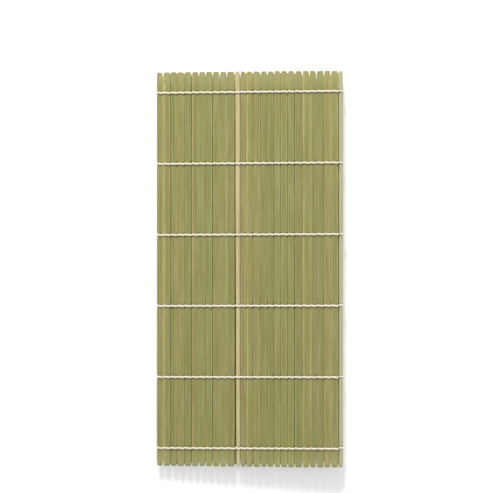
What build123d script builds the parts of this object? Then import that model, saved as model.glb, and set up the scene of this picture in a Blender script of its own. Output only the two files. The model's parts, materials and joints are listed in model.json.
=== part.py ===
"""A sushi rolling mat of flat bamboo strips, folded in half as it is sold.

The strips lie along Y and the cords cross them along X. The top layer, the two strips
that stand in the fold and the bottom layer are one chain. Strip 1 is the free edge of
the top layer, on the left, and the last strip is the free edge of the bottom layer.
Each cord is one doubled thread: it is looped round strip 1, its two strands cross over
and under the strips by turns, and both are knotted past the last strip.
"""

import os
from math import asin, cos, degrees, pi, radians, sin, tan

from build123d import *

# Strips
strip_length = 300.0
strip_width = 4.2
strip_thickness = 2.0
edge_rounding = 0.4
end_taper_width = 0.4
end_taper_length = 2.2
strip_count = 53
top_layer_count = 26
fold_strip_count = 2

# Width of each strip of the top layer with its gap, as a share of the mean. The others have the mean.
top_layer_shares = (
    0.95, 1.06, 0.96, 1.05, 1.05, 1.02, 0.99, 1.00, 1.06, 1.00, 1.15, 0.79, 0.83,
    0.98, 1.09, 0.98, 0.95, 0.96, 1.00, 1.00, 1.10, 1.03, 0.98, 1.05, 1.00, 1.05,
)
# One strip is split slimmer than the rest, and narrows towards its near end.
slim_strip = 12
slim_end_share = 0.7

# Cords
thread_diameter = 0.9
thread_clearance = 0.095
strand_gap = 0.3
cord_count = 6
first_cord_inset = 15.6
last_cord_inset = 13.7
knot_diameter = 2.6
tail_length = 3.6
hinge_arc_share = 0.9

# Fold
layer_clearance = 0.3
fold_turn = 180.0
slope_rounds = 4

# Sizes that follow
thread_radius = thread_diameter / 2
strip_gap = thread_diameter + 2 * thread_clearance
strip_pitch = strip_width + strip_gap
rounding = min(edge_rounding, strip_thickness / 4)
strand_offset = (thread_diameter + strand_gap) / 2
thread_height = strip_thickness / 2 + thread_clearance + thread_radius
wrap_radius = rounding + thread_clearance + thread_radius
cord_spacing = (strip_length - first_cord_inset - last_cord_inset) / (cord_count - 1)
fold_end = top_layer_count + fold_strip_count
fold_steps = fold_strip_count + 1


def pitch_of(number):
    """A strip's width with its gap."""
    share = top_layer_shares[number - 1] if number <= len(top_layer_shares) else 1
    return strip_pitch * share


def turned(angle):
    """Unit vector in the X-Z plane, at this angle above +X."""
    return Vector(cos(radians(angle)), 0, sin(radians(angle)))


# The fold turns in equal steps. Its hinges lie deeper than the middle of the strips, so that
# the cord fits between their inner edges. The top layer slopes down from the fold to its free
# edge, where its cords nearly touch those of the bottom layer.
top_layer_length = sum(pitch_of(number) for number in range(1, top_layer_count + 1))
layer_distance = 2 * (thread_height + thread_radius) + layer_clearance
slope = 0
for _ in range(slope_rounds):
    step_angle = (fold_turn + slope) / fold_steps
    fold_depth = strip_thickness / 2 - rounding
    fold_depth += (strip_gap / 2 + rounding) * tan(radians(step_angle / 4))
    rise = sum(strip_pitch * sin(radians(step_angle * step)) for step in range(1, fold_steps))
    slope = degrees(asin((2 * fold_depth + rise - layer_distance) / top_layer_length))
half_step = radians(step_angle / 2)

# At a fold hinge a strand turns at the hinge and again where it meets the inner face.
inner_run = (thread_height - fold_depth) / cos(half_step)
inner_arc_run = wrap_radius * tan((pi / 2 - half_step) / 2)
hinge_radius = hinge_arc_share * (inner_run - inner_arc_run) / tan(half_step / 2)


def heading_of(number):
    """The way the chain runs at a strip, from the last strip to the first."""
    if number > fold_end:
        return 0
    return step_angle * min(fold_end + 1 - number, fold_steps)


def depth_of(number):
    """How far inside the middle of a strip its hinge with the next strip lies."""
    return fold_depth if top_layer_count <= number <= fold_end else 0


def lay_out():
    """Each strip's centre, direction and outward side, and the hinge after each strip."""
    frames = {}
    hinges = {}
    corner = Vector(0, 0, thread_height + thread_radius)
    for number in range(strip_count, 0, -1):
        along = turned(heading_of(number))
        outward = turned(heading_of(number) - 90)
        if number < strip_count:
            corner = hinges[number] + outward * depth_of(number)
        frames[number] = (corner + along * (pitch_of(number) / 2), along, outward)
        far_corner = corner + along * pitch_of(number)
        hinges[number - 1] = far_corner - outward * depth_of(number - 1)
    return frames, hinges


frames, hinges = lay_out()


def crossing(number, outside, side):
    """Points and radii of a strand between the faces of a strip's neighbour and of the strip."""
    hinge = hinges[number]
    depth = depth_of(number)
    this = frames[number + 1][2]
    other = frames[number][2]
    if not depth:
        start = thread_height if outside else -thread_height
        return [hinge + this * start + side, hinge - this * start + side], [wrap_radius, wrap_radius]
    narrow = hinge - (this + other).normalized() * inner_run + side
    outer_side = this if outside else other
    wide = hinge + outer_side * (thread_height + depth) + side
    points = [wide, hinge + side, narrow]
    radii = [wrap_radius, hinge_radius, wrap_radius]
    return (points, radii) if outside else (points[::-1], radii[::-1])


def strand(outside):
    """One strand's points and radii from the last strip to the first, over and under by turns."""
    points = []
    radii = []
    for number in range(strip_count - 1, 0, -1):
        side = Vector(0, strand_offset if outside else -strand_offset, 0)
        more_points, more_radii = crossing(number, outside, side)
        points += more_points
        radii += more_radii
        outside = not outside
    return points, radii


def knot_centre():
    """The middle of the knot, just past the edge of the last strip."""
    centre, along, _ = frames[strip_count]
    return centre - along * (strip_width / 2 + thread_clearance + knot_diameter / 2)


def strand_end(outside):
    """Points of a strand's cut tail, its place in the knot and its turn over the last strip."""
    centre, along, outward = frames[strip_count]
    sign = 1 if outside else -1
    side = Vector(0, -sign * strand_offset, 0)
    tail = knot_centre() - along * tail_length + outward * (sign * thread_diameter)
    turn = centre - along * (strip_width / 2 + rounding) + outward * (sign * thread_height)
    return [tail + side, knot_centre() + side, turn + side]


def edge_loop(outside):
    """Points where the strands join round the free edge of the first strip."""
    centre, along, outward = frames[1]
    sign = 1 if outside else -1
    reach = outward * (sign * thread_height) + Vector(0, sign * strand_offset, 0)
    edge = centre + along * (pitch_of(1) / 2)
    return [edge + reach, edge - reach]


# One thread, from one cut tail to the other
starts_outside = True
over_points, over_radii = strand(starts_outside)
under_points, under_radii = strand(not starts_outside)
ends_outside = starts_outside == (strip_count % 2 == 1)
route = strand_end(starts_outside) + over_points + edge_loop(ends_outside)
route += under_points[::-1] + strand_end(not starts_outside)[::-1]
end_radii = [wrap_radius, wrap_radius]
route_radii = end_radii + over_radii + end_radii + under_radii[::-1] + end_radii

with BuildPart() as thread:
    with BuildLine() as thread_line:
        FilletPolyline(*route, radius=route_radii)
    start = route[0]
    with BuildSketch(Plane(start, z_dir=route[1] - start)):
        Circle(thread_radius)
    sweep(path=thread_line.wire())
    tube_volume = thread.part.volume
    with Locations(knot_centre()):
        Sphere(knot_diameter / 2)

thread_length = thread_line.wire().length
section_volume = pi * thread_radius**2 * thread_length
print(f"cord: {len(route)} points, {thread_length:.1f} mm of thread in {cord_count} cords each")
print(f"cord: tube volume {tube_volume:.2f}, section times length {section_volume:.2f}")
print("cord: arc radii", sorted({round(radius, 3) for radius in route_radii}))
print(f"cord: gap between the strands where they cross {strand_gap:.3f}")
print(f"fold: steps of {step_angle:.2f} degrees, top layer slopes {slope:.2f} degrees")

# The origin is under the middle of the mat, on what it lies on.
box = thread.part.bounding_box()
to_origin = Vector(-(box.min.X + box.max.X) / 2, 0, 0)
os.makedirs("parts", exist_ok=True)

for index in range(cord_count):
    with BuildPart() as cord:
        place = to_origin + Vector(0, strip_length / 2 - first_cord_inset - cord_spacing * index, 0)
        with Locations(place):
            add(thread.part)
    cord.part.label = f"cord_{index + 1}"
    export_step(cord.part, f"parts/{cord.part.label}.step")

for number, (centre, along, outward) in frames.items():
    half_width = (pitch_of(number) - strip_gap) / 2
    near_half = half_width * slim_end_share if number == slim_strip else half_width
    half_length = strip_length / 2
    taper_start = half_length - end_taper_length
    outline = [
        (half_width, -taper_start),
        (half_width - end_taper_width, -half_length),
        (end_taper_width - half_width, -half_length),
        (-half_width, -taper_start),
        (-near_half, taper_start),
        (end_taper_width - near_half, half_length),
        (near_half - end_taper_width, half_length),
        (near_half, taper_start),
    ]
    base = centre + to_origin - outward * (strip_thickness / 2)
    with BuildPart() as strip:
        with BuildSketch(Plane(base, x_dir=along, z_dir=outward)):
            with BuildLine():
                Polyline(*outline, close=True)
            make_face()
        extrude(amount=strip_thickness)
        long_edges = strip.edges().filter_by(lambda edge: edge.length > half_length)
        fillet(long_edges, rounding)
    strip.part.label = f"strip_{number:02d}"
    export_step(strip.part, f"parts/{strip.part.label}.step")
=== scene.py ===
import json
import math
import bpy
import numpy as np
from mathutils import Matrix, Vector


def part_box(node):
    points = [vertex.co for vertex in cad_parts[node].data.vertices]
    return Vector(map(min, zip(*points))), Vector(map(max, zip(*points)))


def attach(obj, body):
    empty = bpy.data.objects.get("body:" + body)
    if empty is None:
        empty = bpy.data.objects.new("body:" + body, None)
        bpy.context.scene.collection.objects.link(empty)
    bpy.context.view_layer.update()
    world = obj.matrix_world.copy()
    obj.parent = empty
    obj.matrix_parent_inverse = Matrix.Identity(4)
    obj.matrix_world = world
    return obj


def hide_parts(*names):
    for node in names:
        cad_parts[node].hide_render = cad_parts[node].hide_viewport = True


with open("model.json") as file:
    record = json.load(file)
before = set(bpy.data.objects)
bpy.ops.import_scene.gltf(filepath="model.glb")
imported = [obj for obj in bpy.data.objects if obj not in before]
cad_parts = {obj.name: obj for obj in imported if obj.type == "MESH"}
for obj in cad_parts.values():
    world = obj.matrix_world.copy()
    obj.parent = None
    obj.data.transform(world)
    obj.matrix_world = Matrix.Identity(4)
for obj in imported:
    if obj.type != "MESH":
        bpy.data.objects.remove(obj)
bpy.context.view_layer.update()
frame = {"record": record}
mm = 0.001
fullTurn = 2 * math.pi
dice = np.random.default_rng(12)
scene = bpy.context.scene
bodies = frame["record"]["behaviour"]["bodies"]
bodyOf = {node: body for body, nodes in bodies.items() for node in nodes}


# The mat as one chain of strips, from the free edge of the top layer to that of the bottom layer
mat = {
    "strips": 53,
    "topStrips": 26,
    "foldStrips": 2,
    "gap": 1.09 * mm,
    "cords": 6,
    "firstCordInset": 15.6 * mm,
    "lastCordInset": 13.7 * mm,
    "firstCordDrop": 0.5 * mm,
    "lastCordRise": 0.75 * mm,
}


def nodeOf(number):
    return f"strip_{number:02d}"


def cordRows(length, number):
    # Where the six cords cross a strip. They aren't quite square to the strips: the first sags
    # towards the free edge, the last rises towards the fold, and the ones between share the two.
    inset = np.linspace(mat["firstCordInset"], length - mat["lastCordInset"], mat["cords"])
    toFold = 1 - abs(number - mat["topStrips"] - 1) / (mat["topStrips"] + 1)
    fromLast = np.linspace(1, 0, mat["cords"])
    drop = mat["firstCordDrop"] * fromLast * (1 - toFold)
    rise = mat["lastCordRise"] * (1 - fromLast) * toFold
    return length / 2 - inset - drop + rise


def readChain():
    # A strip is a turned rounded rectangle: its centre is its box's, and its width follows from the
    # box's width. The headings are those of the fold, which turns in equal steps.
    boxes = {number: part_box(nodeOf(number)) for number in range(1, mat["strips"] + 1)}
    centres = {
        number: np.array([(low.x + high.x) / 2, (low.z + high.z) / 2])
        for number, (low, high) in boxes.items()
    }
    flatLow, flatHigh = boxes[mat["strips"]]
    thickness = flatHigh.z - flatLow.z
    corner = slat["rounding"]
    rise = centres[mat["topStrips"]] - centres[1]
    foldStep = (math.pi + math.atan2(rise[1], rise[0])) / (mat["foldStrips"] + 1)
    depth = thickness / 2 - corner + (mat["gap"] / 2 + corner) * math.tan(foldStep / 4)
    lastOfFold = mat["topStrips"] + mat["foldStrips"]
    chain = {}
    for number, (low, high) in boxes.items():
        steps = min(max(lastOfFold + 1 - number, 0), mat["foldStrips"] + 1)
        heading = foldStep * steps
        leaning = abs(math.sin(heading)) * (thickness - 2 * corner)
        straight = (high.x - low.x - 2 * corner - leaning) / abs(math.cos(heading))
        atFold = [mat["topStrips"] <= gap <= lastOfFold for gap in (number - 1, number)]
        neighbours = [bodyOf.get(nodeOf(other)) for other in (number - 1, number + 1)]
        chain[number] = {
            "centre": centres[number],
            "along": np.array([math.cos(heading), math.sin(heading)]),
            "outward": np.array([math.sin(heading), -math.cos(heading)]),
            "side": 1 if math.cos(heading) > 0 else -1,
            "width": straight + 2 * corner,
            "thickness": thickness,
            "length": high.y - low.y,
            "rows": cordRows(high.y - low.y, number),
            # of the gap before the strip and the gap after it
            "atFold": atFold,
            "depths": [depth if fold else 0 for fold in atFold],
            "moves": [body != bodyOf[nodeOf(number)] for body in neighbours],
            "halfStep": foldStep / 2,
        }
    return chain


def toFrame(strip, across, height, y):
    # from a strip's own measures, across it and out of its skin, to the frame
    x = strip["centre"][0] + strip["along"][0] * across + strip["outward"][0] * height
    z = strip["centre"][1] + strip["along"][1] * across + strip["outward"][1] * height
    return np.stack([x, y + 0 * x, z], -1)


def buildMesh(name, grids, values):
    # A grid is rings along a form by points round it, counterclockwise seen from its far end, with
    # its uv. Quads join the rings and a cap closes each end. Values belong to a single grid.
    faces, start = [], 0
    for points, _ in grids:
        rings, around = points.shape[:2]
        index = np.arange(rings * around).reshape(rings, around) + start
        nextIndex = np.roll(index, -1, 1)
        quads = np.stack([index[:-1], nextIndex[:-1], nextIndex[1:], index[1:]], -1)
        faces += quads.reshape(-1, 4).tolist() + [index[0, ::-1].tolist(), index[-1].tolist()]
        start += rings * around
    vertices = np.concatenate([points.reshape(-1, 3) for points, _ in grids])
    uv = np.concatenate([grain.reshape(-1, 2) for _, grain in grids])
    mesh = bpy.data.meshes.new(name)
    mesh.from_pydata(vertices.tolist(), [], faces)
    for key, value in values.items():
        layer = mesh.attributes.new(key, "FLOAT", "POINT")
        spread = np.broadcast_to(value, (rings, around)).astype(np.float32)
        layer.data.foreach_set("value", spread.ravel())
    layer = mesh.uv_layers.new(name="grain")
    loops = np.zeros(len(mesh.loops), np.int32)
    mesh.loops.foreach_get("vertex_index", loops)
    layer.data.foreach_set("uv", uv[loops].astype(np.float32).ravel())
    mesh.shade_smooth()
    return mesh


def addPiece(name, mesh, material, body):
    piece = bpy.data.objects.new(name, mesh)
    scene.collection.objects.link(piece)
    mesh.materials.append(material)
    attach(piece, body)
    return piece


# Slats: the split bamboo strips
slat = {
    "rounding": 0.4 * mm,
    "crown": 0.10 * mm,
    "swellMoving": (0.39 * mm, 0.43 * mm),
    "swellFixed": (0.44 * mm, 0.53 * mm),
    "swellFold": 0.49 * mm,
    "foldSwellMiddle": 0.6,  # its share at half height, and how fast it grows outwards
    "foldSwellRise": 2 / mm,
    "swellStart": 4.5 * mm,
    "notchHalf": 1.45 * mm,
    "notchMoving": 0.27 * mm,
    "notchFixed": 0.05 * mm,
    "notchStations": np.array([-2.7, -1.8, -1.0, 0.0, 1.0, 1.8, 2.7]) * mm,
    "stationSpace": 1.2 * mm,
    "stations": 30,
    "endDistances": np.array([0.0, 0.12, 0.9, 2.1, 4.5]) * mm,
    "edgeWave": 0.07 * mm,
    "faceWave": 0.07 * mm,
    "taper": 0.4 * mm,
    "taperLength": 2.1 * mm,
    "taperLeast": (0.1, 0.7, 0.2, 0.2),  # before and after at the far end, then at the near end
    "taperMost": (0.5, 1.3, 0.8, 0.8),
    "cutBevel": 0.09 * mm,
    "cutSlant": 0.14 * mm,
    "cutReach": 2 * mm,
    "shortest": 0.3 * mm,
    "slimStrip": 12,
    "slimmer": 0.95 * mm,
    # how far the darkening at the cut ends reaches
    "endDarkReach": 0.6 * mm,
    # how far the painted shade beside each cord reaches
    "shadeAtCordsReach": 1.3 * mm,
    "dryEnd": 9 * mm,
    "dryStart": 1.6,
}
waves = {"turns": (0.8, 2.2), "shares": (1, 0.6, 0.35), "steps": (1, 2.7, 6.1)}
# How the strips differ: the ones that stand out are chosen, the rest vary by chance. A margin is how
# much of half the skin is split away, a tone goes from green at 0 to tan at 1, and pale is bleached.
variety = {
    "marginLeast": (-0.08, -0.08),
    "marginMost": (0.14, 0.14),
    "margins": {
        2: (0.4, 0.1), 3: (0.05, 0.25), 6: (0.3, 0.1), 13: (0.1, 0.3), 14: (0.4, 0.05),
        22: (0.4, 0.05), 23: (0.35, 0.1), 25: (0.1, 0.3), 27: (0, 0), 28: (0, 0),
    },
    "toneRange": (0.2, 0.65),
    "tones": {
        1: 0.62, 2: 0.5, 3: 0.38, 4: 0.6, 7: 0.3, 8: 0.25, 13: 0.75, 14: 0.24, 15: 0.7, 20: 0.25,
        27: 0.35,
    },
    "pale": {27: 0.8, 28: 0.4},
}


def slatProfile():
    # A rounded rectangle: four corners of four points, with points between them on the faces.
    # Across and height are shares of the straight parts, turnX and turnY the corner's direction.
    corners = [(1, -1, -90), (1, 1, 0), (-1, 1, 90), (-1, -1, 180)]
    between = (0.5, 0, -0.5)
    rows = []
    for signX, signY, start in corners:
        for step in range(4):
            angle = math.radians(start + 30 * step)
            rows.append((signX, signY, math.cos(angle), math.sin(angle)))
        if signX * signY < 0:  # the sides
            rows += [(signX, share * signY, signX, 0) for share in between]
        elif signY > 0:  # the skin
            rows += [(share, 1, 0, 1) for share in between]
        else:  # the inner face
            rows += [(share, -1, 0, -1) for share in (-0.35, 0.35)]
    return np.array(rows).T


def wave(y, length, count):
    # a gentle unevenness from 0 to 1 along the length: three sines of different lengths
    turns = dice.uniform(*waves["turns"], count)
    starts = dice.uniform(0, fullTurn, (3, count))
    along = y[:, None] / length * fullTurn
    total = sum(
        share * np.sin(along * turns * step + start)
        for share, step, start in zip(waves["shares"], waves["steps"], starts)
    )
    return (0.5 + total / (2 * sum(waves["shares"]))).T


def slatStations(length, rows):
    # close together near the cut ends and at the cords, which press a notch into the edges
    half = length / 2
    ends = slat["endDistances"]
    middle = np.linspace(ends[-1] - half, half - ends[-1], slat["stations"])[1:-1]
    atCords = (rows[:, None] + slat["notchStations"]).ravel()
    clear = np.abs(middle[:, None] - atCords).min(1) > slat["stationSpace"]
    return np.sort(np.concatenate([ends - half, middle[clear], atCords, half - ends]))


def sideSwell(strip, clearOfCords, fromEnd, h, turnX):
    # The sides belly into the gap, most at half height, and not at the cords or the cut ends.
    # A gap that opens and closes keeps more room than one between two strips of the same body,
    # and at the fold, where the inner edges meet, mostly the outer half of the side bellies.
    belly = np.clip(1 - (2 * h / strip["thickness"]) ** 2, 0, 1)
    start = np.clip(fromEnd / slat["swellStart"], 0, 1)
    outerHalf = np.clip(slat["foldSwellMiddle"] + slat["foldSwellRise"] * h, 0, 1)
    swells = []
    for moves, atFold in zip(strip["moves"], strip["atFold"]):
        swell = dice.uniform(*slat["swellMoving" if moves else "swellFixed"])
        swells.append(slat["swellFold"] * outerHalf if atFold else swell)
    sides = np.where(turnX > 0.01, swells[0], 0) - np.where(turnX < -0.01, swells[1], 0)
    return sides * belly * (clearOfCords * start**2 * (3 - 2 * start))[:, None]


def marginsOf(number):
    chance = dice.uniform(variety["marginLeast"], variety["marginMost"])
    return variety["margins"].get(number, chance)


def toneOf(number):
    chance = dice.uniform(*variety["toneRange"])
    return variety["tones"].get(number, chance)


def makeSlat(number, strip, material):
    # The profile carried along the strip: across is the middle between the two edges plus the
    # profile's share of their distance, and height is its share of the thickness, both uneven.
    across, height, turnX, turnY = slatProfile()
    length = strip["length"]
    half = length / 2
    y = slatStations(length, strip["rows"])
    fromEnd = half - np.abs(y)
    fromCord = np.abs(y[:, None] - strip["rows"]).min(1)
    isFar = y > 0
    edgeWaves = wave(y, length, 2)
    top, under = wave(y, length, 2)
    rounding = slat["rounding"]

    # each edge: the half width, less the bevel, the wave, the taper of the cut ends and the notches
    notch = np.exp(-(fromCord / slat["notchHalf"]) ** 4)
    tapers = dice.uniform(slat["taperLeast"], slat["taperMost"]) * slat["taper"]
    atEnd = np.clip(1 - fromEnd / slat["taperLength"], 0, 1)
    bevel = slat["cutBevel"] * (fromEnd < slat["endDistances"][1] / 2)
    before, after = (
        strip["width"] / 2 - bevel - slat["edgeWave"] * edgeWaves[side]
        - atEnd * np.where(isFar, tapers[side], tapers[2 + side])
        - notch * slat["notchMoving" if strip["moves"][side] else "notchFixed"]
        for side in (0, 1)
    )
    if number == slat["slimStrip"]:  # it narrows towards its near end
        before = before - slat["slimmer"] * (half - y) / length
    middle = (before - after) / 2
    wide = (before + after) / 2 - rounding
    u = middle[:, None] + wide[:, None] * across + rounding * turnX

    skin = np.clip(height, 0, 1) * np.clip(turnY, 0, 1)
    h = (strip["thickness"] / 2 - rounding) * height + rounding * turnY - bevel[:, None] * height
    u += sideSwell(strip, 1 - notch, fromEnd, h, turnX)
    place = 2 * u / strip["width"]
    h -= skin * slat["crown"] * place**2
    h += np.where(height > 0, -1, 0) * slat["faceWave"] * top[:, None]
    h += np.where(height < 0, 1, 0) * slat["faceWave"] * under[:, None]

    # the cut ends are a little short and slant either way
    shorter = np.where(isFar, *dice.uniform(0, slat["shortest"], 2))[:, None]
    lean = np.where(isFar, *(dice.uniform(-1, 1, 2) * slat["cutSlant"]))[:, None]
    near = np.exp(-fromEnd / slat["cutReach"])[:, None]
    yCut = y[:, None] - np.sign(y)[:, None] * near * (shorter + np.abs(lean) + lean * place)
    points = toFrame(strip, u, h, yCut)

    # the grain's uv is in metres: the way round the profile, and along the strip
    run = np.concatenate([[0], np.cumsum(np.hypot(np.diff(u[0]), np.diff(h[0])))])
    offset = dice.uniform(0, 1, 2)
    uv = np.stack(np.broadcast_arrays(run + offset[0], y[:, None] + offset[1]), -1)
    margins = marginsOf(number)
    values = {
        "skin": skin,
        "inner": np.clip(-height, 0, 1) * np.clip(-turnY, 0, 1),
        "place": place,
        "marginBefore": margins[0],
        "marginAfter": margins[1],
        # darker towards the cut ends
        "cut": np.exp(-fromEnd / slat["endDarkReach"])[:, None],
        "dry": np.clip(slat["dryStart"] - fromEnd / slat["dryEnd"], 0, 1)[:, None],
        # painted shade on the skin beside each cord
        "shadeAtCords": np.exp(-(fromCord / slat["shadeAtCordsReach"]) ** 2)[:, None],
        "tone": toneOf(number),
        "light": dice.uniform(-1, 1),
        "pale": variety["pale"].get(number, 0),
    }
    mesh = buildMesh(f"slat_{number:02d}", [(points, uv)], values)
    node = nodeOf(number)
    piece = addPiece(f"slat_{number:02d}", mesh, material, bodyOf[node])
    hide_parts(node)


# One split fibre that stands off the skin of a strip
fibre = {
    "strip": 2,
    "across": -1.45 * mm,
    "y": 138.3 * mm,
    "reach": 1.5 * mm,
    "lean": 0.35,
    "width": 0.36 * mm,
    "flatness": 0.35,
    "lowEnd": 0.08 * mm,
    "rise": 0.12 * mm,
    "rings": 9,
    "around": 8,
    "looks": {
        "skin": 1.0, "inner": 0.0, "place": 0.0, "marginBefore": 0.0, "marginAfter": 0.0,
        "cut": 0.0, "dry": 1.0, "shadeAtCords": 0.0, "tone": 0.1, "light": 1.0, "pale": 1.0,
    },
}


def makeFibre(strip, material):
    # a lens along a leaning line, lifted at one end: its width is that of a circle's chords
    along = np.linspace(-1, 1, fibre["rings"])[:, None]
    angle = np.linspace(0, fullTurn, fibre["around"], endpoint=False)[None, :]
    fat = np.sqrt(1.001 - along**2) * fibre["width"]
    line = strip["side"] * (fibre["across"] + fibre["lean"] * along * fibre["reach"])
    u = line + fat * np.cos(angle)
    lift = fibre["lowEnd"] + fibre["rise"] * (1 + along)
    h = strip["thickness"] / 2 - slat["faceWave"] + lift + fibre["flatness"] * fat * np.sin(angle)
    points = toFrame(strip, u, h, fibre["y"] + along * fibre["reach"])
    uv = np.stack(np.broadcast_arrays(angle * 0.1 * mm, along * fibre["reach"]), -1)
    mesh = buildMesh("lifted_fibre", [(points, uv)], fibre["looks"])
    addPiece("lifted_fibre", mesh, material, bodyOf[nodeOf(fibre["strip"])])


# Cords: one doubled thread each, its two strands crossing between the strips
cord = {
    "halfWidth": 0.72 * mm,
    "halfHeight": 0.5 * mm,
    "gapRadius": 0.44 * mm,
    "flatFrom": 0.35,  # shares of the way from the strip's middle to its face
    "flatOver": 0.6,
    "pressedIn": 0.04 * mm,
    "lean": 0.2 * mm,
    "stepInGap": 0.52 * mm,
    "stepOnFace": 0.27 * mm,
    "arcSteps": 3,
    "longestArc": 0.48,  # share of the run after a corner
    "sides": 6,
    "endReach": 0.5,
    "endShare": 0.6,
}
knot = {
    "reach": 1.3 * mm,
    "space": 0.1 * mm,
    "rings": 25,
    "depth": 1.4,
    "tail": 3.6 * mm,
    "tailSpread": 0.9 * mm,
    "tailStep": 0.624 * mm,
    "tailBow": (0.25 * mm, 0.3 * mm),
    "tailSwell": np.array([1, 1, 1, 1, 1.02, 1.12, 1.25]),
}


def roundedRoute(corners):
    # straight runs with each inner corner replaced by a smooth arc
    corners = np.array(corners, float)
    radius = slat["rounding"] + cord["gapRadius"]
    route = [corners[0]]
    for before, point, after in zip(corners, corners[1:], corners[2:]):
        runIn = (point - before) / np.linalg.norm(point - before)
        runOut = (after - point) / np.linalg.norm(after - point)
        turn = math.acos(np.clip(runIn @ runOut, -1, 1))
        longest = cord["longestArc"] * np.linalg.norm(after - point)
        reach = min(radius * math.tan(turn / 2), longest)
        share = np.linspace(0, 1, cord["arcSteps"])[:, None]
        arc = (1 - share) ** 2 * (point - runIn * reach) + 2 * share * (1 - share) * point
        arc = arc + share**2 * (point + runOut * reach)
        if len(route) > 1:
            route.append((route[-1] + arc[0]) / 2)
        route += list(arc)
    route.append(corners[-1])
    return np.array(route)


def makeTube(route, strip, start, flat=True, swell=1.0):
    # An ellipse carried along the route, which is across, height and y. It is round in the gaps,
    # and on the faces of the strip it is pressed flat.
    steps = np.gradient(route, axis=0)
    tangent = steps / np.linalg.norm(steps, axis=1, keepdims=True)
    sideways = np.array([0.0, 0.0, 1.0]) - tangent * tangent[:, 2:]
    sideways /= np.linalg.norm(sideways, axis=1, keepdims=True)
    upward = np.cross(tangent, sideways)
    onFace = np.abs(route[:, 1]) / (strip["thickness"] / 2 + cord["halfHeight"])
    spread = np.clip((onFace - cord["flatFrom"]) / cord["flatOver"], 0, 1) * flat
    wide = (cord["gapRadius"] + (cord["halfWidth"] - cord["gapRadius"]) * spread) * swell
    high = (cord["gapRadius"] + (cord["halfHeight"] - cord["gapRadius"]) * spread) * swell
    angle = np.arange(cord["sides"]) / cord["sides"] * fullTurn
    ring = np.cos(angle)[None, :, None] * (sideways * wide[:, None])[:, None, :]
    ring = ring + np.sin(angle)[None, :, None] * (upward * high[:, None])[:, None, :]
    points = route[:, None, :] + ring
    run = np.concatenate([[0], np.cumsum(np.linalg.norm(np.diff(route, axis=0), axis=1))])
    uv = np.stack(np.broadcast_arrays(angle[None, :] / fullTurn, run[:, None] + start), -1)
    return points, uv


def closeEnds(points, uv):
    # a smaller ring past each end, so that the strand ends round
    ends = []
    for last, previous in ((points[0], points[1]), (points[-1], points[-2])):
        step = (last - previous).mean(0)
        outward = step / np.linalg.norm(step) * cord["endReach"] * cord["gapRadius"]
        middle = last.mean(0)
        ends.append((middle + cord["endShare"] * (last - middle) + outward)[None])
    points = np.concatenate([ends[0], points, ends[1]])
    uv = np.concatenate([uv[:1], uv, uv[-1:]])
    return points, uv


def knotPlace(strip):
    return -strip["width"] / 2 - knot["reach"] - knot["space"]


def strandRoutes(number, strip):
    # Outside: up at one hinge, over the skin and down at the next. Inside: the same under the strip.
    # At a gap that moves, the strand on the skin leans to its own strip, and at the fold the one
    # under the strip is pulled in.
    half = (strip["width"] + mat["gap"]) / 2
    over = strip["thickness"] / 2 + cord["halfHeight"] - cord["pressedIn"]
    inGap, onFace = cord["stepInGap"], cord["stepOnFace"]
    before, after = strip["depths"]
    slope = math.tan(strip["halfStep"])
    pulls = [(over - depth) * slope if depth else 0 for depth in strip["depths"]]
    leans = [
        cord["lean"] * (moves and not atFold)
        for moves, atFold in zip(strip["moves"], strip["atFold"])
    ]
    outside = [
        (half, -before, inGap), (half - leans[0], over, onFace),
        (leans[1] - half, over, -onFace), (-half, -after, -inGap),
    ]
    inside = [
        (half, -before, -inGap), (half - pulls[0], -over, -onFace),
        (pulls[1] - half, -over, onFace), (-half, -after, inGap),
    ]
    if number == 1:  # the thread is looped round the free edge
        return [roundedRoute(outside[::-1][:3] + inside[1:])]
    if number == mat["strips"]:  # both strands end in the knot
        outside = outside[:3] + [(knotPlace(strip), 0, -inGap / 3)]
        inside = inside[:3] + [(knotPlace(strip), 0, inGap / 3)]
    return [roundedRoute(outside), roundedRoute(inside)]


def knotParts(strip):
    # a small overhand knot: a trefoil, with two cut tails
    centre = np.array([knotPlace(strip), 0, 0])
    turn = np.linspace(0, fullTurn, knot["rings"])
    size = (knot["reach"] - cord["gapRadius"]) / 3
    trefoil = np.stack([
        np.sin(turn) + 2 * np.sin(2 * turn),
        np.cos(turn) - 2 * np.cos(2 * turn),
        -knot["depth"] * np.sin(3 * turn),
    ], -1) * size
    parts = [makeTube(centre + trefoil, strip, 0, flat=False)]
    share = np.linspace(0, 1, len(knot["tailSwell"]))[:, None]
    bowHeight, bowAlong = knot["tailBow"]
    for sign in (1, -1):
        tip = np.array([-knot["tail"], sign * knot["tailSpread"], -sign * knot["tailStep"]])
        bow = np.sin(share * math.pi) * np.array([0, bowHeight * sign, bowAlong])
        route = centre + share * tip + bow
        parts.append(makeTube(route, strip, sign, flat=False, swell=knot["tailSwell"]))
    return parts


def makeBinding(number, strip, material):
    # a strip's own part of all six cords
    start = number * strip["width"]
    shapes = [makeTube(route, strip, start) for route in strandRoutes(number, strip)]
    if number == mat["strips"]:
        shapes += knotParts(strip)
    shapes = [closeEnds(points, uv) for points, uv in shapes]
    grids = [
        (toFrame(strip, points[..., 0], points[..., 1], points[..., 2] + row), uv)
        for row in strip["rows"] for points, uv in shapes
    ]
    name = f"binding_{number:02d}"
    mesh = buildMesh(name, grids, {})
    piece = addPiece(name, mesh, material, bodyOf[nodeOf(number)])
    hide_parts(*[f"cord_{index + 1}" for index in range(mat["cords"])])


# Materials
def linear(red, green, blue):
    # a colour as it is seen, 0 to 255, as Blender's linear values, by the curve of sRGB
    seen = np.array([red, green, blue]) / 255
    light = np.where(seen < 0.04045, seen / 12.92, ((seen + 0.055) / 1.055) ** 2.4)
    return (*light, 1.0)


def grey(value):
    return (value, value, value, 1)


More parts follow.
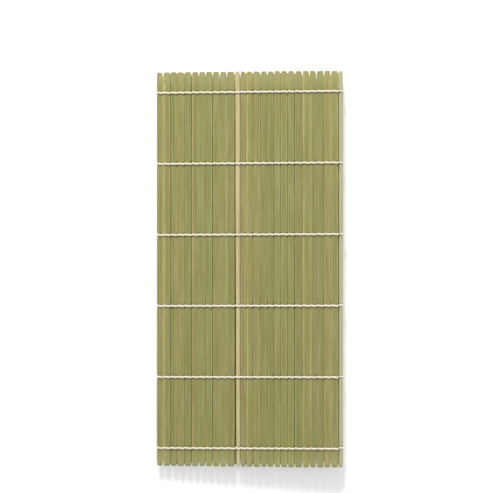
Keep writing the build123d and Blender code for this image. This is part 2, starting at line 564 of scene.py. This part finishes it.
def newTree(name):
    material = bpy.data.materials.new(name)
    material.use_nodes = True
    tree = material.node_tree
    tree.nodes.clear()
    shader = addNode(tree, "ShaderNodeBsdfPrincipled")
    output = addNode(tree, "ShaderNodeOutputMaterial")
    link(tree, shader.outputs[0], output.inputs["Surface"])
    return material, tree, shader


def addNode(tree, kind, **settings):
    node = tree.nodes.new(kind)
    for key, value in settings.items():
        setattr(node, key, value)
    return node


def link(tree, fromSocket, toSocket):
    tree.links.new(fromSocket, toSocket)


def feed(tree, sockets, values):
    # a value is another node's socket, or a number or colour
    for socket, value in zip(sockets, values):
        if hasattr(value, "links"):
            link(tree, value, socket)
        else:
            socket.default_value = value


def readValue(tree, name):
    return addNode(tree, "ShaderNodeAttribute", attribute_name=name).outputs["Fac"]


def readGrain(tree):
    return addNode(tree, "ShaderNodeUVMap", uv_map="grain").outputs["UV"]


def mathNode(tree, operation, *values):
    node = addNode(tree, "ShaderNodeMath", operation=operation)
    feed(tree, node.inputs, values)
    return node.outputs[0]


def noiseOn(tree, coordinates, scale, detail, roughness):
    # noise stretched along the piece: scale is across and along, in repeats per metre
    mapping = addNode(tree, "ShaderNodeMapping")
    mapping.inputs["Scale"].default_value = (*scale, 1)
    link(tree, coordinates, mapping.inputs["Vector"])
    noise = addNode(tree, "ShaderNodeTexNoise", noise_dimensions="2D")
    noise.inputs["Scale"].default_value = 1
    noise.inputs["Detail"].default_value = detail
    noise.inputs["Roughness"].default_value = roughness
    link(tree, mapping.outputs[0], noise.inputs["Vector"])
    return noise.outputs["Fac"]


def rampOn(tree, value, stops):
    ramp = addNode(tree, "ShaderNodeValToRGB")
    elements = ramp.color_ramp.elements
    while len(elements) < len(stops):
        elements.new(0.5)
    for element, (place, colour) in zip(elements, stops):
        element.position = place
        element.color = colour
    link(tree, value, ramp.inputs["Fac"])
    return ramp.outputs["Color"]


def greyRamp(tree, value, stops):
    return rampOn(tree, value, [(place, grey(level)) for place, level in stops])


def mixColours(tree, share, first, second, blend="MIX"):
    mix = addNode(tree, "ShaderNodeMix", data_type="RGBA", blend_type=blend)
    colourSockets = [socket for socket in mix.inputs if socket.type == "RGBA"]
    feed(tree, (mix.inputs[0], *colourSockets), (share, first, second))
    return [socket for socket in mix.outputs if socket.type == "RGBA"][0]


def addBump(tree, shader, height, settings):
    bump = addNode(tree, "ShaderNodeBump")
    bump.inputs["Strength"].default_value = settings["bumpStrength"]
    bump.inputs["Distance"].default_value = settings["bumpDistance"]
    link(tree, height, bump.inputs["Height"])
    link(tree, bump.outputs[0], shader.inputs["Normal"])


bambooPaint = {
    "green": linear(139, 146, 81),
    "greenOlive": linear(142, 145, 79),
    "olive": linear(147, 144, 80),
    "tan": linear(157, 148, 89),
    "streak": linear(160, 143, 101),
    "bloom": linear(170, 170, 120),
    "side": linear(180, 168, 108),
    "sideDark": linear(168, 154, 92),
    "flesh": linear(192, 180, 122),
    # the paler sides: painted light in the gaps between the strips
    "paintedLightWall": linear(216, 206, 140),
    "inner": linear(210, 196, 142),
    "innerDark": linear(190, 172, 112),
    "dash": linear(150, 124, 72),
    # also the colour of the painted shade beside the cords
    "cut": linear(112, 106, 66),
    "dry": linear(184, 182, 128),
    "pale": linear(206, 202, 164),
}
palePaint = {
    "green": linear(206, 196, 146),
    "greenOlive": linear(206, 194, 144),
    "olive": linear(204, 190, 140),
    "tan": linear(200, 184, 134),
    "streak": linear(202, 178, 130),
    "bloom": linear(218, 212, 176),
    "side": linear(198, 182, 128),
    "sideDark": linear(182, 160, 104),
    "flesh": linear(214, 200, 150),
    # the paler sides: painted light in the gaps between the strips
    "paintedLightWall": linear(222, 208, 158),
    "inner": linear(214, 200, 148),
    "innerDark": linear(196, 178, 120),
    "dash": linear(160, 134, 84),
    "cut": linear(150, 132, 88),
    "dry": linear(212, 204, 156),
    "pale": linear(246, 240, 198),
}
bambooGrain = {
    # noises: repeats per metre across and along, detail and roughness
    "noises": {
        "clouds": ((260, 9), 2, 0.55),
        "streaks": ((1500, 14), 3, 0.55),
        "fibres": ((7000, 60), 2, 0.7),
        "stains": ((900, 8), 4, 0.65),
        "bloom": ((420, 26), 4, 0.55),
        "dashes": ((5200, 230), 2, 0.6),
    },
    # ramps: the noise or attribute, and the share, brightness or roughness there
    "stain": ((0.52, 0), (0.68, 0.55)),
    "bloom": ((0.46, 0), (0.78, 0.5)),
    # how much painted light the sides get, more where there is less skin
    "paintedLightWall": ((0.05, 0.75), (0.4, 0)),
    "dash": ((0.56, 0), (0.66, 0.5)),
    "skinEdge": ((0.3, 0), (0.75, 1)),
    "streakShade": ((0.3, 0.84), (0.5, 1)),
    "fibreShade": ((0.36, 0.8), (0.54, 1)),
    "skinRoughness": ((0.3, 0.52), (0.7, 0.40)),
    # shares
    "cloudiness": 1.1,
    "dry": 0.4,
    "ragged": 0.5,
    "skinSharpness": 9.0,
    "lightSpread": 0.05,
    "lightMiddle": 0.97,
    # how dark the painted shade beside the cords is
    "shadeAtCords": 0.3,
    "cut": 0.7,
    "woodRoughness": 0.7,
    "gloss": 0.4,
    "streakHeight": 1.5,
    "bumpStrength": 0.45,
    "bumpDistance": 0.08 * mm,
}


def makeBamboo(name, paint):
    material, tree, shader = newTree(name)
    grain = bambooGrain
    coordinates = readGrain(tree)
    noises = {key: noiseOn(tree, coordinates, *values) for key, values in grain["noises"].items()}
    streaks, fibres = noises["streaks"], noises["fibres"]

    # the skin: a tone for each strip, clouds along it, tan streaks, a pale bloom and dry ends
    cloudiness = grain["cloudiness"]
    clouds = mathNode(tree, "MULTIPLY_ADD", noises["clouds"], cloudiness, -cloudiness / 2)
    tone = mathNode(tree, "ADD", readValue(tree, "tone"), clouds)
    skinColour = rampOn(tree, tone, [
        (0.1, paint["green"]), (0.4, paint["greenOlive"]), (0.65, paint["olive"]), (0.95, paint["tan"]),
    ])
    stainShare = greyRamp(tree, noises["stains"], grain["stain"])
    skinColour = mixColours(tree, stainShare, skinColour, paint["streak"])
    bloomShare = greyRamp(tree, noises["bloom"], grain["bloom"])
    skinColour = mixColours(tree, bloomShare, skinColour, paint["bloom"])
    dryShare = mathNode(tree, "MULTIPLY", readValue(tree, "dry"), grain["dry"])
    skinColour = mixColours(tree, dryShare, skinColour, paint["dry"])

    # the split wood at the sides and on the inner face, with short dark dashes; the sides are painted
    # paler, painted light that lifts the shade in the gaps
    fleshColour = rampOn(tree, streaks, [
        (0.3, paint["sideDark"]), (0.5, paint["side"]), (0.7, paint["flesh"]),
    ])
    # painted light on the sides of the strip
    paintedLightWallShare = greyRamp(tree, readValue(tree, "skin"), grain["paintedLightWall"])
    fleshColour = mixColours(tree, paintedLightWallShare, fleshColour, paint["paintedLightWall"])
    innerColour = rampOn(tree, streaks, [(0.3, paint["innerDark"]), (0.55, paint["inner"])])
    fleshColour = mixColours(tree, readValue(tree, "inner"), fleshColour, innerColour)
    dashShare = greyRamp(tree, noises["dashes"], grain["dash"])
    fleshColour = mixColours(tree, dashShare, fleshColour, paint["dash"])

    # the wood shows beside the skin where the skin's margins are gone, with a ragged edge
    ragged = mathNode(tree, "MULTIPLY_ADD", streaks, grain["ragged"], -grain["ragged"] / 2)
    place = readValue(tree, "place")
    kept = [
        mathNode(tree, "SUBTRACT", mathNode(tree, side, 1.0, place), readValue(tree, margin))
        for side, margin in (("SUBTRACT", "marginBefore"), ("ADD", "marginAfter"))
    ]
    nearest = mathNode(tree, "ADD", mathNode(tree, "MINIMUM", *kept), ragged)
    sharpened = mathNode(tree, "MULTIPLY", nearest, grain["skinSharpness"])
    skinKept = mathNode(tree, "MULTIPLY", sharpened, readValue(tree, "skin"))
    skinShare = greyRamp(tree, skinKept, grain["skinEdge"])
    colour = mixColours(tree, skinShare, fleshColour, skinColour)
    outer = mathNode(tree, "SUBTRACT", 1.0, readValue(tree, "inner"))
    paleShare = mathNode(tree, "MULTIPLY", readValue(tree, "pale"), outer)
    colour = mixColours(tree, paleShare, colour, paint["pale"])

    # streaks, fibres and each strip's own brightness, then the painted shade beside the cords and the
    # darkening at the cut ends, both in the cut-end colour
    strength = (grain["lightSpread"], grain["lightMiddle"])
    brightness = mathNode(tree, "MULTIPLY_ADD", readValue(tree, "light"), *strength)
    lit = addNode(tree, "ShaderNodeCombineColor")
    feed(tree, lit.inputs, [brightness] * len(lit.inputs))
    streakShade = greyRamp(tree, streaks, grain["streakShade"])
    fibreShade = greyRamp(tree, fibres, grain["fibreShade"])
    for shade in (streakShade, fibreShade, lit.outputs[0]):
        colour = mixColours(tree, 1.0, colour, shade, "MULTIPLY")
    # the painted shade at the cords, then the darkening at the cut ends
    for key in ("shadeAtCords", "cut"):
        share = mathNode(tree, "MULTIPLY", readValue(tree, key), grain[key])
        colour = mixColours(tree, share, colour, paint["cut"])
    link(tree, colour, shader.inputs["Base Color"])

    skinRoughness = greyRamp(tree, streaks, grain["skinRoughness"])
    roughness = mixColours(tree, skinShare, grey(grain["woodRoughness"]), skinRoughness)
    link(tree, roughness, shader.inputs["Roughness"])
    shader.inputs["Specular IOR Level"].default_value = grain["gloss"]
    height = mathNode(tree, "ADD", fibres, mathNode(tree, "MULTIPLY", streaks, grain["streakHeight"]))
    addBump(tree, shader, height, grain)
    return material


cottonPaint = {
    "light": linear(246, 240, 220),
    # the grooves between the plies, darker as painted shade
    "grooveShade": linear(214, 202, 174),
    "twistPerMetre": 330.0,
    "plies": 3.0,
    "fluff": ((40, 9000), 3, 0.7),
    "plyShare": 0.7,
    "fluffShare": 0.3,
    "roughness": 0.9,
    "sheen": 0.2,
    "sheenRoughness": 0.5,
    "gloss": 0.2,
    "bumpStrength": 0.6,
    "bumpDistance": 0.2 * mm,
}


def makeCotton():
    # twisted yarn: bands that run round the strand as they go along it, with fluff; the grooves between
    # the bands are painted darker, a painted shade
    material, tree, shader = newTree("twistedCotton")
    coordinates = readGrain(tree)
    parts = addNode(tree, "ShaderNodeSeparateXYZ")
    link(tree, coordinates, parts.inputs[0])
    plies = cottonPaint["plies"]
    roundTurn = mathNode(tree, "MULTIPLY", parts.outputs["X"], plies)
    runTurn = mathNode(tree, "MULTIPLY", parts.outputs["Y"], cottonPaint["twistPerMetre"] * plies)
    turns = mathNode(tree, "ADD", roundTurn, runTurn)
    bands = mathNode(tree, "SINE", mathNode(tree, "MULTIPLY", turns, fullTurn))
    bands = mathNode(tree, "MULTIPLY_ADD", bands, 0.5, 0.5)  # from 0 to 1
    fluff = noiseOn(tree, coordinates, *cottonPaint["fluff"])
    fluff = mathNode(tree, "MULTIPLY", fluff, cottonPaint["fluffShare"])
    shade = mathNode(tree, "ADD", mathNode(tree, "MULTIPLY", bands, cottonPaint["plyShare"]), fluff)
    # darker where the bump is low: painted shade in the grooves
    colour = rampOn(tree, shade, [(0.1, cottonPaint["grooveShade"]), (0.6, cottonPaint["light"])])
    link(tree, colour, shader.inputs["Base Color"])
    shader.inputs["Roughness"].default_value = cottonPaint["roughness"]
    shader.inputs["Sheen Weight"].default_value = cottonPaint["sheen"]
    shader.inputs["Sheen Roughness"].default_value = cottonPaint["sheenRoughness"]
    shader.inputs["Specular IOR Level"].default_value = cottonPaint["gloss"]
    addBump(tree, shader, shade, cottonPaint)
    return material


chain = readChain()
bamboo = makeBamboo("splitBamboo", bambooPaint)
paleBamboo = makeBamboo("paleSplitBamboo", palePaint)
cotton = makeCotton()
print("materials made")
for number, strip in chain.items():
    slim = number == slat["slimStrip"]
    makeSlat(number, strip, paleBamboo if slim else bamboo)
makeFibre(chain[fibre["strip"]], paleBamboo)
print("slats made:", mat["strips"])
for number, strip in chain.items():
    makeBinding(number, strip, cotton)
print("bindings made, six cords over", mat["strips"], "strips")


# Table, light and camera
studio = {
    "floorSize": 6.0,
    "floorColour": grey(0.93),
    "floorGlow": 0.18,
    "floorRoughness": 0.8,
    "floorGloss": 0.1,
    "worldLight": 0.62,
    "lights": {  # place, size across and watts
        "window": ((-0.2, 1.4, 0.85), 0.35, 23),
        "fill": ((0.8, -0.4, 1.3), 1.2, 2),
    },
    "viewWidth": 0.374,
    "viewCentre": (-2.66 * mm, 17.1 * mm),
    "viewHeight": 10 * mm,
    "lens": 70.0,
    "sensor": 36.0,
    "nearest": 0.01,
    "farthest": 20,
}


def makeFloor():
    half = studio["floorSize"] / 2
    mesh = bpy.data.meshes.new("tabletop")
    corners = [(-half, -half, 0), (half, -half, 0), (half, half, 0), (-half, half, 0)]
    mesh.from_pydata(corners, [], [(0, 1, 2, 3)])
    material, tree, shader = newTree("paleTable")
    shader.inputs["Base Color"].default_value = studio["floorColour"]
    shader.inputs["Emission Color"].default_value = studio["floorColour"]
    shader.inputs["Emission Strength"].default_value = studio["floorGlow"]
    shader.inputs["Roughness"].default_value = studio["floorRoughness"]
    shader.inputs["Specular IOR Level"].default_value = studio["floorGloss"]
    mesh.materials.append(material)
    floor = bpy.data.objects.new("tabletop", mesh)
    scene.collection.objects.link(floor)


def addSoftLight(name, place, size, watts):
    # a round light that faces the middle of the mat
    lamp = bpy.data.lights.new(name, "AREA")
    lamp.shape = "DISK"
    lamp.size = size
    lamp.energy = watts
    light = bpy.data.objects.new(name, lamp)
    scene.collection.objects.link(light)
    light.location = place
    light.rotation_mode = "QUATERNION"
    light.rotation_quaternion = Vector(-np.array(place)).to_track_quat("-Z", "Y")


def makeWorld():
    world = bpy.data.worlds.new("paleRoom")
    world.use_nodes = True
    background = world.node_tree.nodes["Background"]
    background.inputs["Color"].default_value = grey(1)
    background.inputs["Strength"].default_value = studio["worldLight"]
    scene.world = world
    scene.view_settings.view_transform = "Standard"
    scene.view_settings.look = "None"


def makeCamera():
    # straight above, at the distance where the lens takes in the view's width at the view's height
    lens = bpy.data.cameras.new("fromAbove")
    lens.lens = studio["lens"]
    lens.sensor_width = studio["sensor"]
    lens.clip_start = studio["nearest"]
    lens.clip_end = studio["farthest"]
    camera = bpy.data.objects.new("fromAbove", lens)
    scene.collection.objects.link(camera)
    distance = studio["viewWidth"] * studio["lens"] / studio["sensor"]
    camera.location = (*studio["viewCentre"], studio["viewHeight"] + distance)
    scene.camera = camera


makeFloor()
for name, settings in studio["lights"].items():
    addSoftLight(name, *settings)
makeWorld()
makeCamera()
print("table, light and camera made")
